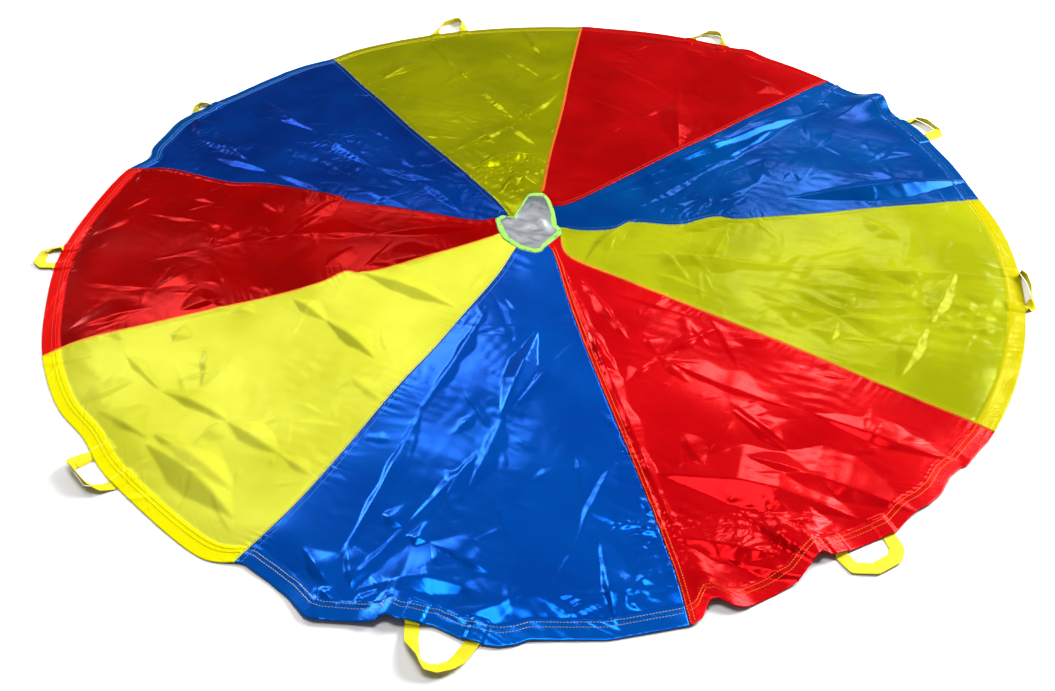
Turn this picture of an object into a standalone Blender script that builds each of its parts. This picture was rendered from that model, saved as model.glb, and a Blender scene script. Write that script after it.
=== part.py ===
"""Play parachute: nine cloth panels sewn round a small net, with nine webbing handles, lying spread on a floor.

+Z is up and the origin is on the floor under the middle of the net. +X and +Y point across the spread cloth;
the first seam of the tables below lies near -Y and the others follow counterclockwise.
Lengths in the tables and functions are millimetres and angles are degrees. Meshes are made in metres.
"""

import math
from collections import namedtuple

import bmesh
import bpy
import numpy as np

METRES = 0.001

# Driving sizes
LAID_RADIUS = 898.0  # from the middle to the hem's edge as the cloth lies; cut flat it is 915
CLOTH = 1.2  # thickness of one layer, with the air it traps
HEM_WIDTH = 30.0  # turned under and stitched flat
PANEL_LENGTH = 828.0  # from the net's binding to the hem's edge
SEAM_GAP = 0.5  # round the middle, between neighbouring panels
BINDING_WIDTH = 9.0
BINDING_THICK = 2.4  # the tape is folded over the net's edge
NET_THICK = 1.0
NET_FLAT_SHARE = 0.5  # the middle of the net that lies flat
WEBBING_WIDTH = 22.0
WEBBING_THICK = 1.6
NET_GAP = 0.8  # along the radius, between the panels, the binding and the net
HANDLE_GAP = 0.4  # between a panel and a handle
FLOOR_GAP = 0.2  # under a handle
SEAT_MARGIN = 3.0  # the stretch of hem to each side of a webbing corner that it keeps off

# How finely the solids are cut into facets
ROWS_TO_HEM = 12
HEM_STEP = 2.0  # the length over which the cloth thickens to the hem
COLUMNS = 14
HANDLE_STATIONS = 13

ROUGHNESS = {"cloth": 0.35, "webbing": 0.55, "binding": 0.6, "net": 0.7}

COLOURS = {
    "red": (0.72, 0.01, 0.02),
    "yellow": (0.72, 0.74, 0.05),
    "blue": (0.01, 0.09, 0.42),
    "webbing": (0.88, 0.84, 0.04),
    "binding": (0.42, 0.85, 0.10),
    "net": (0.45, 0.47, 0.49),
}

# Each seam's way over the floor, from the net to the hem, counterclockwise from the front.
# Points are (x, y); the cloth that follows a seam has the colour named.
Seam = namedtuple("Seam", "colour_after points")
SEAMS = [
    Seam("red", [(36, -58), (262, -863)]),
    Seam("yellow", [(60, -30), (80, -96), (400, -293), (741, -503)]),
    Seam("blue", [(62, 0), (105, -8), (165, 0), (202, 20), (290, 16), (370, 46), (440, 38), (870, 125)]),
    Seam("red", [(42, 70), (656, 605)]),
    Seam("yellow", [(14, 94), (24, 260), (42, 450), (52, 600), (76, 892)]),
    Seam("blue", [(-42, 58), (-536, 690)]),
    Seam("red", [(-70, 30), (-200, 43), (-390, 99), (-560, 132), (-780, 182), (-878, 186)]),
    Seam("yellow", [(-56, -20), (-300, -152), (-338, -152), (-405, -202), (-620, -302), (-760, -362),
                    (-812, -398)]),
    Seam("blue", [(-22, -62), (-130, -328), (-238, -560), (-355, -790)]),
]

# Where the hem runs out past the round or is drawn in, and where it lifts off the floor.
HemWave = namedtuple("HemWave", "angle out spread lift")
HEM_WAVES = [
    HemWave(-139, -12, 4.0, 0),
    HemWave(-113, -24, 2.6, 3),
    HemWave(-104, 16, 4.0, 6),
    HemWave(-98, -14, 2.4, 14),
    HemWave(-89, 12, 7.0, 3),
    HemWave(-76, 16, 4.0, 2),
    HemWave(-70, -14, 2.2, 12),
    HemWave(-60, -18, 2.8, 14),
    HemWave(-47, -6, 6.0, 4),
    HemWave(10, -8, 6.0, 0),
    HemWave(26, 9, 3.5, 2),
    HemWave(34, 18, 2.4, 20),
    HemWave(40, -8, 2.0, 4),
    HemWave(57, 2, 2.0, 6),
    HemWave(84, -4, 2.0, 4),
    HemWave(95, -10, 22.0, 0),
    HemWave(128, -16, 3.0, 3),
    HemWave(149, 6, 3.0, 2),
    HemWave(155, 10, 3.5, 6),
    HemWave(165, -26, 2.2, 4),
    HemWave(188, 8, 8.0, 0),
    HemWave(205, 5, 8.0, 0),
    HemWave(232, -12, 10.0, 0),
]

# The main folds: ridges that stand off the floor between two points.
Fold = namedtuple("Fold", "x0 y0 x1 y1 height width")
FOLDS = [
    # red, front right
    Fold(80, -110, 250, -560, 9, 28),
    Fold(230, -620, 480, -660, 15, 34),
    Fold(480, -660, 610, -650, 10, 30),
    Fold(380, -560, 560, -630, 11, 26),
    Fold(270, -730, 430, -770, 14, 34),
    Fold(330, -330, 200, -470, 8, 26),
    Fold(330, -400, 680, -560, 6, 22),
    # yellow, right
    Fold(130, -90, 205, 30, 13, 30),
    Fold(260, -60, 380, 60, 14, 36),
    Fold(200, -70, 860, -135, 6, 24),
    Fold(600, -400, 690, -240, 8, 30),
    Fold(700, -250, 790, -90, 9, 30),
    Fold(430, -260, 620, -230, 7, 34),
    # blue, right
    Fold(170, 130, 420, 335, 15, 32),
    Fold(420, 335, 760, 548, 17, 34),
    Fold(250, 110, 480, 240, 9, 28),
    Fold(470, 128, 880, 190, 14, 30),
    Fold(560, 200, 620, 380, 7, 36),
    # red, back right
    Fold(300, 200, 325, 470, 11, 30),
    Fold(170, 600, 310, 480, 7, 26),
    Fold(60, 220, 130, 420, 7, 28),
    Fold(420, 610, 560, 470, 8, 28),
    # yellow, back
    Fold(-130, 180, 0, 250, 14, 26),
    Fold(-60, 120, -20, 190, 11, 20),
    Fold(-180, 290, 30, 470, 8, 24),
    Fold(-400, 600, -270, 710, 9, 26),
    Fold(-320, 820, -60, 420, 6, 22),
    Fold(-90, 860, 10, 690, 6, 22),
    # blue, back left
    Fold(-680, 500, -430, 310, 10, 30),
    Fold(-430, 310, -110, 90, 9, 26),
    Fold(-810, 390, -600, 250, 11, 32),
    Fold(-800, 260, -480, 150, 9, 28),
    Fold(-560, 590, -240, 300, 5, 20),
    # red, left
    Fold(-800, 40, -460, -50, 6, 24),
    Fold(-460, -50, -110, -10, 9, 26),
    Fold(-330, -130, -120, -60, 10, 24),
    Fold(-820, -260, -600, -230, 8, 26),
    Fold(-600, -230, -520, -140, 6, 20),
    # yellow, front left
    Fold(-650, -380, -360, -550, 8, 26),
    Fold(-360, -550, -190, -650, 7, 24),
    Fold(-480, -230, -230, -400, 9, 30),
    Fold(-650, -530, -330, -720, 12, 32),
    Fold(-340, -165, -160, -260, 8, 26),
    # blue, front
    Fold(-15, -320, -45, -660, 9, 26),
    Fold(-80, -220, -225, -790, 6, 22),
    Fold(150, -310, 10, -520, 7, 22),
    Fold(-200, -850, -20, -800, 14, 30),
    Fold(-20, -860, 70, -790, 12, 26),
    Fold(180, -600, 110, -800, 7, 24),
]

# The net is smaller where one panel's tip is folded over it.
NET_NOTCH_ANGLE = 118.0
NET_NOTCH_DEPTH = 20.0
NET_NOTCH_SPREAD = 10.0
NET_BACK = (10.0, 95.0)  # the middle of the net's far side, which rides up on the bunched cloth
NET_BACK_LIFT = 9.0
NET_BACK_SPREAD = 45.0
HEM_LIFT_DEPTH = 70.0  # how far in from the hem's edge its lift reaches
LOWEST_FOLD = 0.6  # cloth that would stand off the floor by less lies on it

# Handles: one to a panel, at a share of its width. Each loop leaves the hem flat, turns on edge by lean at its
# outer end, and comes back spacing away. Lift is how far its outer end stands off the floor.
Handle = namedtuple("Handle", "share spacing reach skew squareness lean lift")
HANDLES = [
    Handle(0.455, 72, 36, -4, 0.55, 25, 0),
    Handle(0.585, 80, 18, -14, 0.80, 70, 4),
    Handle(0.54, 62, 40, -22, 0.80, 55, 4),
    Handle(0.50, 84, 30, 4, 0.75, 62, 2),
    Handle(0.50, 68, 33, 4, 0.70, 70, 2),
    Handle(0.57, 60, 24, 4, 0.75, 50, 2),
    Handle(0.51, 56, 38, 4, 0.55, 72, 2),
    Handle(0.49, 66, 36, -4, 0.55, 40, 2),
    Handle(0.52, 68, 56, -4, 0.70, 60, 0),
]


def polar(points):
    """Radius and angle in degrees of points given as rows of x, y."""
    points = np.asarray(points, float)
    return np.hypot(points[..., 0], points[..., 1]), np.degrees(np.arctan2(points[..., 1], points[..., 0]))


def around(angle):
    """The angle brought within half a turn of zero."""
    return (np.asarray(angle, float) + 180.0) % 360.0 - 180.0


def smooth_path(points, share):
    """A Catmull-Rom curve through the points, at shares 0 to 1 of the length of its chords."""
    points = np.asarray(points, float)
    ends = np.vstack([2 * points[0] - points[1], points, 2 * points[-1] - points[-2]])
    reach = np.concatenate([[0], np.cumsum(np.linalg.norm(np.diff(points, axis=0), axis=1))])
    along = np.clip(share, 0, 1) * reach[-1]
    part = np.clip(np.searchsorted(reach, along, side="right") - 1, 0, len(points) - 2)
    t = ((along - reach[part]) / (reach[part + 1] - reach[part]))[..., None]
    a, b, c, d = (ends[part + k] for k in range(4))
    return 0.5 * (2 * b + (c - a) * t + (2 * a - 5 * b + 4 * c - d) * t**2 + (3 * b - a - 3 * c + d) * t**3)


def hem_bumps(angle, column):
    """What the hem's waves add at an angle, in the column named."""
    total = np.zeros_like(np.asarray(angle, float))
    for wave in HEM_WAVES:
        total += getattr(wave, column) * np.exp(-((around(angle - wave.angle) / wave.spread) ** 2))
    return total


def hem_radius(angle):
    return LAID_RADIUS + hem_bumps(angle, "out")


def net_radius(angle):
    """The binding's outer edge: a closed line through the seams' first points, with the notch."""
    radii, angles = polar([seam.points[0] for seam in SEAMS])
    line = np.interp(np.asarray(angle, float), angles, radii, period=360)
    notch = NET_NOTCH_DEPTH * np.exp(-((around(angle - NET_NOTCH_ANGLE) / NET_NOTCH_SPREAD) ** 2))
    return line - notch


def underside(x, y):
    """Height of the cloth's lower face off the floor at x, y: flat, raised along the folds and the hem's waves."""
    height = np.zeros_like(x)
    for fold in FOLDS:
        way = np.array([fold.x1 - fold.x0, fold.y1 - fold.y0], float)
        length = np.hypot(*way)
        along = np.clip(((x - fold.x0) * way[0] + (y - fold.y0) * way[1]) / length**2, 0, 1)
        away = np.hypot(x - fold.x0 - along * way[0], y - fold.y0 - along * way[1])
        height = np.maximum(height, fold.height * np.exp(-((away / fold.width) ** 2)))
    radius, angle = polar(np.stack([x, y], -1))
    from_edge = (hem_radius(angle) - radius) / HEM_LIFT_DEPTH
    height += hem_bumps(angle, "lift") * np.exp(-(from_edge**2))
    from_net_back = np.hypot(x - NET_BACK[0], y - NET_BACK[1]) / NET_BACK_SPREAD
    height += NET_BACK_LIFT * np.exp(-(from_net_back**2))
    return np.where(height < LOWEST_FOLD, 0.0, height)


def panel_grid(index, columns, rows):
    """Points of a panel as an array of rows by columns by (x, y), from the net to the hem and counterclockwise."""
    right, left = SEAMS[index], SEAMS[(index + 1) % len(SEAMS)]
    share = np.asarray(rows, float)
    r0, a0 = polar(smooth_path(right.points, share))
    r1, a1 = polar(smooth_path(left.points, share))
    a1 = a0 + (a1 - a0) % 360.0
    u = np.asarray(columns, float)[None, :]
    margin = np.degrees(0.5 * SEAM_GAP / r0)[:, None]
    angle = a0[:, None] + margin + u * (a1 - a0)[:, None] - 2 * margin * u
    radius = r0[:, None] + u * (r1 - r0)[:, None]
    share = share[:, None]
    radius = radius + share**4 * (hem_radius(angle) - (r0[-1] + u * (r1[-1] - r0[-1])))
    radius = radius + (1 - share) ** 6 * (net_radius(angle) + NET_GAP - (r0[0] + u * (r1[0] - r0[0])))
    return np.stack([radius * np.cos(np.radians(angle)), radius * np.sin(np.radians(angle))], -1)


def new_object(name, mesh, colour, roughness):
    """Links an object with its own material to the scene."""
    material = bpy.data.materials.new(name)
    material.use_nodes = True
    shader = material.node_tree.nodes["Principled BSDF"]
    shader.inputs["Base Color"].default_value = (*COLOURS[colour], 1.0)
    shader.inputs["Roughness"].default_value = roughness
    material.diffuse_color = (*COLOURS[colour], 1.0)
    mesh.materials.append(material)
    obj = bpy.data.objects.new(name, mesh)
    bpy.context.scene.collection.objects.link(obj)
    return obj


def mesh_from(bm, name):
    bmesh.ops.recalc_face_normals(bm, faces=bm.faces)
    mesh = bpy.data.meshes.new(name)
    bm.to_mesh(mesh)
    bm.free()
    return mesh


def grid_faces(bm, corners):
    """Two triangles for each cell of a grid of vertices."""
    for lower, upper in zip(corners[:-1], corners[1:]):
        for a, b, c, d in zip(lower[:-1], lower[1:], upper[1:], upper[:-1]):
            bm.faces.new((a, b, c))
            bm.faces.new((a, c, d))


def panel_rows():
    """Shares of the panel's length at which it has a row of points, closer at the hem's inner edge."""
    hem_line = 1 - HEM_WIDTH / PANEL_LENGTH
    return np.concatenate([np.linspace(0, hem_line, ROWS_TO_HEM + 1), [hem_line + HEM_STEP / PANEL_LENGTH, 1.0]])


def make_panel(index):
    """One panel: its lower face is shaped by the folds, then extruded up by one layer, or by two in the hem.

    Its edge at the net has half as many corners as the rest, as the binding has.
    """
    points = panel_grid(index, np.linspace(0, 1, COLUMNS + 1), panel_rows())
    points[0, 1::2] = 0.5 * (points[0, :-1:2] + points[0, 2::2])
    height = underside(points[..., 0], points[..., 1])
    bm = bmesh.new()
    corners = [
        [bm.verts.new((x * METRES, y * METRES, z * METRES)) for (x, y), z in zip(row, heights)]
        for row, heights in zip(points, height)
    ]
    grid_faces(bm, corners)
    hem = {vertex for row in corners[-2:] for vertex in row}
    in_hem = [tuple(vertex.co) for vertex in hem]
    made = bmesh.ops.extrude_face_region(bm, geom=bm.faces[:])
    for vertex in (v for v in made["geom"] if isinstance(v, bmesh.types.BMVert)):
        layers = 2 if tuple(vertex.co) in in_hem else 1
        vertex.co.z += layers * CLOTH * METRES
    name = f"panel_{index + 1}_{SEAMS[index].colour_after}"
    return new_object(name, mesh_from(bm, name), SEAMS[index].colour_after, ROUGHNESS["cloth"])


def ring_solid(name, stations, colour, roughness):
    """A closed or open tube of four-cornered sections: stations is sections by 4 corners by (x, y, z)."""
    bm = bmesh.new()
    rings = [[bm.verts.new(corner * METRES) for corner in station] for station in stations]
    closed = np.allclose(stations[0], stations[-1])
    if closed:
        for vertex in rings.pop():
            bm.verts.remove(vertex)
        rings.append(rings[0])
    for ring, after in zip(rings[:-1], rings[1:]):
        for k in range(4):
            bm.faces.new((ring[k], ring[(k + 1) % 4], after[(k + 1) % 4], after[k]))
    if not closed:
        bm.faces.new(rings[0])
        bm.faces.new(rings[-1])
    bmesh.ops.triangulate(bm, faces=bm.faces[:])
    return new_object(name, mesh_from(bm, name), colour, roughness)


def net_outline():
    """Points round the binding's outer edge, facing the panels' inner edges, with the underside's height there."""
    columns = np.linspace(0, 1, COLUMNS // 2 + 1)[:-1]
    edge = np.vstack([panel_grid(index, columns, [0.0])[0] for index in range(len(SEAMS))])
    outline = edge * (1 - NET_GAP / np.hypot(*edge.T))[:, None]
    return outline, underside(*edge.T)


def drawn_in(outline, distance):
    """The outline moved towards the middle."""
    return outline * (1 - distance / np.hypot(*outline.T))[:, None]


def make_binding():
    """The tape folded over the net's edge, as a flat ring."""
    outline, height = net_outline()
    inner = drawn_in(outline, BINDING_WIDTH)
    top = height + BINDING_THICK
    corners = [(outline, height), (outline, top), (inner, top), (inner, height)]
    stations = np.stack([np.column_stack(corner) for corner in corners], 1)
    return ring_solid("net_binding", np.concatenate([stations, stations[:1]]), "binding", ROUGHNESS["binding"])


def make_net():
    """The net: a thin disc inside the binding, flat on the floor in its middle and raised with the binding."""
    outline, height = net_outline()
    edge = drawn_in(outline, BINDING_WIDTH + NET_GAP)
    inner = edge * NET_FLAT_SHARE
    bm = bmesh.new()
    rim_height = height + 0.5 * (BINDING_THICK - NET_THICK)
    rim = [bm.verts.new((x * METRES, y * METRES, z * METRES)) for (x, y), z in zip(edge, rim_height)]
    flat = [bm.verts.new((x * METRES, y * METRES, 0)) for x, y in inner]
    grid_faces(bm, [flat + flat[:1], rim + rim[:1]])
    bm.faces.new(flat)
    made = bmesh.ops.extrude_face_region(bm, geom=bm.faces[:])
    top = [v for v in made["geom"] if isinstance(v, bmesh.types.BMVert)]
    bmesh.ops.translate(bm, verts=top, vec=(0, 0, NET_THICK * METRES))
    return new_object("net", mesh_from(bm, "net"), "net", ROUGHNESS["net"])


def hem_edge(index):
    """The outer edge of a panel's solid as rows of x, y and the height of its lower face, from share 0 to 1."""
    edge = panel_grid(index, np.linspace(0, 1, COLUMNS + 1), panel_rows())[-1]
    return np.column_stack([edge, underside(*edge.T)])


def edge_points(edge, share):
    columns = np.linspace(0, 1, COLUMNS + 1)
    return np.stack([np.interp(share, columns, line) for line in edge.T], -1)


def handle_stations(index, handle):
    """The four corners of the webbing at each station of a handle's loop."""
    seam_ends = [polar(SEAMS[(index + k) % len(SEAMS)].points[-1])[1] for k in range(2)]
    arc = np.radians(around(seam_ends[1] - seam_ends[0]))
    half = 0.5 * handle.spacing / (LAID_RADIUS * arc)
    edge = hem_edge(index)
    first, last = edge_points(edge, np.array([handle.share - half, handle.share + half]))
    across = (last - first)[:2] / np.linalg.norm((last - first)[:2])
    outward = np.array([across[1], -across[0]])
    turn = np.linspace(0, math.pi, HANDLE_STATIONS)
    wide = np.sign(np.cos(turn)) * np.abs(np.cos(turn)) ** handle.squareness
    far = np.abs(np.sin(turn)) ** handle.squareness
    middle = 0.5 * (first + last)[:2]
    centre = middle + np.outer(-0.5 * handle.spacing * wide + handle.skew * far, across)
    centre = centre + np.outer(handle.reach * far, outward)
    going = np.gradient(centre, axis=0)
    going[0] = going[-1] = 0
    going[0] = outward
    going[-1] = -outward
    going /= np.linalg.norm(going, axis=1)[:, None]
    side = np.column_stack([going[:, 1], -going[:, 0]])
    lean = np.radians(handle.lean) * np.sin(turn) ** 1.5
    flat = np.linspace(first[2], last[2], HANDLE_STATIONS) * np.abs(np.cos(turn))
    height = flat + 0.5 * WEBBING_WIDTH * np.sin(lean) + handle.lift * far + WEBBING_THICK / 2 + FLOOR_GAP
    width_way = np.column_stack([side * np.cos(lean)[:, None], np.sin(lean)])
    thick_way = np.column_stack([-side * np.sin(lean)[:, None], np.cos(lean)])
    middle_line = np.column_stack([centre, height])
    corners = []
    for w, t in ((-1, -1), (1, -1), (1, 1), (-1, 1)):
        corners.append(middle_line + 0.5 * w * WEBBING_WIDTH * width_way + 0.5 * t * WEBBING_THICK * thick_way)
    stations = np.stack(corners, 1)
    keep_off_hem(stations, edge, across, outward)
    return stations


def keep_off_hem(stations, edge, across, outward):
    """Moves a loop's corners outward where they would lie nearer to the hem's edge than the gap, in plan."""
    edge = edge_points(edge, np.linspace(0, 1, 40 * COLUMNS + 1))[:, :2]
    for number, station in enumerate(stations):
        sideways = station[:, :2] @ across
        reach = station[:, :2] @ outward
        near = (edge @ across >= sideways.min() - SEAT_MARGIN) & (edge @ across <= sideways.max() + SEAT_MARGIN)
        seat = (edge @ outward)[near].max() + HANDLE_GAP
        moved = np.full(4, seat) if number in (0, len(stations) - 1) else np.maximum(reach, seat)
        station[:, :2] += (moved - reach)[:, None] * outward


def make_handle(index, handle):
    return ring_solid(f"handle_{index + 1}", handle_stations(index, handle), "webbing", ROUGHNESS["webbing"])


def main():
    for obj in list(bpy.data.objects):
        bpy.data.objects.remove(obj)
    for index, handle in enumerate(HANDLES):
        make_panel(index)
        make_handle(index, handle)
    make_binding()
    make_net()


main()
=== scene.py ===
# Play parachute lying spread on a pale floor: nine taffeta panels with their hems and seam threads, the
# middle net with its overlocked edge, and nine webbing loops. The tables are in millimetres and degrees,
# the meshes in metres.
import math
from collections import namedtuple

import bpy
import numpy as np
from mathutils import Matrix, Vector


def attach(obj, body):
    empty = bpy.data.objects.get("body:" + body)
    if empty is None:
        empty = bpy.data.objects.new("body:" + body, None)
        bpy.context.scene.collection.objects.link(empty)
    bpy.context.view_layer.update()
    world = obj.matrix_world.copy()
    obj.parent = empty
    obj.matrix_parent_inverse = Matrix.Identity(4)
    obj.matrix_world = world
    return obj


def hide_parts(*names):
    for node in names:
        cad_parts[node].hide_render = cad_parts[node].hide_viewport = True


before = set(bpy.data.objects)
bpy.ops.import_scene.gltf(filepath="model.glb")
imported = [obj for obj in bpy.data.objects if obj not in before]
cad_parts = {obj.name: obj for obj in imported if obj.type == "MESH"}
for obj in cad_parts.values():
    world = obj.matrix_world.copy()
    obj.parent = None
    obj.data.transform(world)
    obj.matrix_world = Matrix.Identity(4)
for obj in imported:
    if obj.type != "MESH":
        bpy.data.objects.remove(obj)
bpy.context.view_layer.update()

mm = 0.001
fullTurn = 6.283  # radians
print("frame loaded,", len(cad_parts), "nodes")

cloth = {
    "laidRadius": 898.0,  # middle to hem edge as it lies
    "netRadius": 68.0,  # middle to the net's edge, on average
    "hemWidth": 30.0,  # turned under and stitched flat
    "thick": 0.45,  # one layer, with the air it traps
    "hemThick": 1.1,
    "hemEase": 1.5,  # over which the hem's step rises, either way
    "edgeRound": 1.6,
    "netGap": 1.0,
    "under": 0.1,  # how far the coarse lower face keeps under the fine one's own
    "off": 0.15,  # and its least height off the floor
}
panelLength = cloth["laidRadius"] - cloth["netRadius"]

# The seams, counterclockwise from the front: the colours before and after each, and its way out to the hem
Seam = namedtuple("Seam", "before after points")
seams = [
    Seam("blue", "red", [(36, -58), (52, -100), (100, -290), (200, -620), (240, -760), (262, -863)]),
    Seam("red", "yellow", [(60, -30), (80, -96), (200, -167), (400, -291), (741, -503)]),
    Seam("yellow", "blue", [(62, 0), (105, -8), (165, 0), (202, 22), (285, 18), (360, 46), (420, 41),
                            (700, 93), (870, 125)]),
    Seam("blue", "red", [(42, 70), (100, 104), (300, 290), (656, 605)]),
    Seam("red", "yellow", [(14, 94), (24, 260), (42, 450), (55, 650), (75, 892)]),
    Seam("yellow", "blue", [(-54, 40), (-96, 116), (-300, 378), (-400, 512), (-536, 690)]),
    Seam("blue", "red", [(-70, 30), (-114, 24), (-200, 40), (-374, 80), (-400, 97), (-560, 134),
                         (-640, 140), (-780, 184), (-878, 188)]),
    Seam("red", "yellow", [(-56, -20), (-204, -110), (-300, -152), (-336, -152), (-402, -202),
                           (-640, -305), (-760, -360), (-812, -398)]),
    Seam("yellow", "blue", [(-22, -62), (-54, -156), (-123, -313), (-198, -472), (-296, -694),
                            (-355, -790)]),
]

# Where the hem runs out past the round or in, and lifts off the floor: angle and spread in degrees
HemWave = namedtuple("HemWave", "angle out spread lift")
hemWaves = [HemWave(*row) for row in (
    (-139, -12, 4.0, 0), (-113, -24, 2.6, 3), (-104, 16, 4.0, 6), (-98, -14, 2.4, 14), (-89, 12, 7.0, 3),
    (-76, 16, 4.0, 2), (-70, -14, 2.2, 12), (-60, -18, 2.8, 14), (-47, -6, 6.0, 4), (10, -8, 6.0, 0),
    (26, 9, 3.5, 2), (34, 18, 2.4, 20), (40, -8, 2.0, 4), (57, 2, 2.0, 6), (84, -4, 2.0, 4),
    (95, -10, 22.0, 0), (128, -16, 3.0, 3), (149, 6, 3.0, 2), (155, 10, 3.5, 6), (165, -26, 2.2, 4),
    (188, 8, 8.0, 0), (205, 5, 8.0, 0), (232, -12, 10.0, 0),
)]

# the hem's edge along the two front panels, where it kinks
hemFront = [(-350, -799), (-307, -826), (-271, -852), (-243, -880), (-230, -885), (-146, -887),
            (-143, -881), (-132, -877), (-119, -883), (-69, -885), (-33, -901), (-2, -909), (18, -911),
            (39, -907), (56, -899), (159, -893), (267, -866), (280, -857), (290, -832), (302, -829),
            (323, -839), (338, -837), (380, -813), (411, -793), (433, -765), (448, -747), (462, -752),
            (529, -717), (556, -704), (579, -678), (595, -663), (614, -651), (635, -631), (656, -597),
            (674, -580), (685, -575), (734, -516)]

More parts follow.
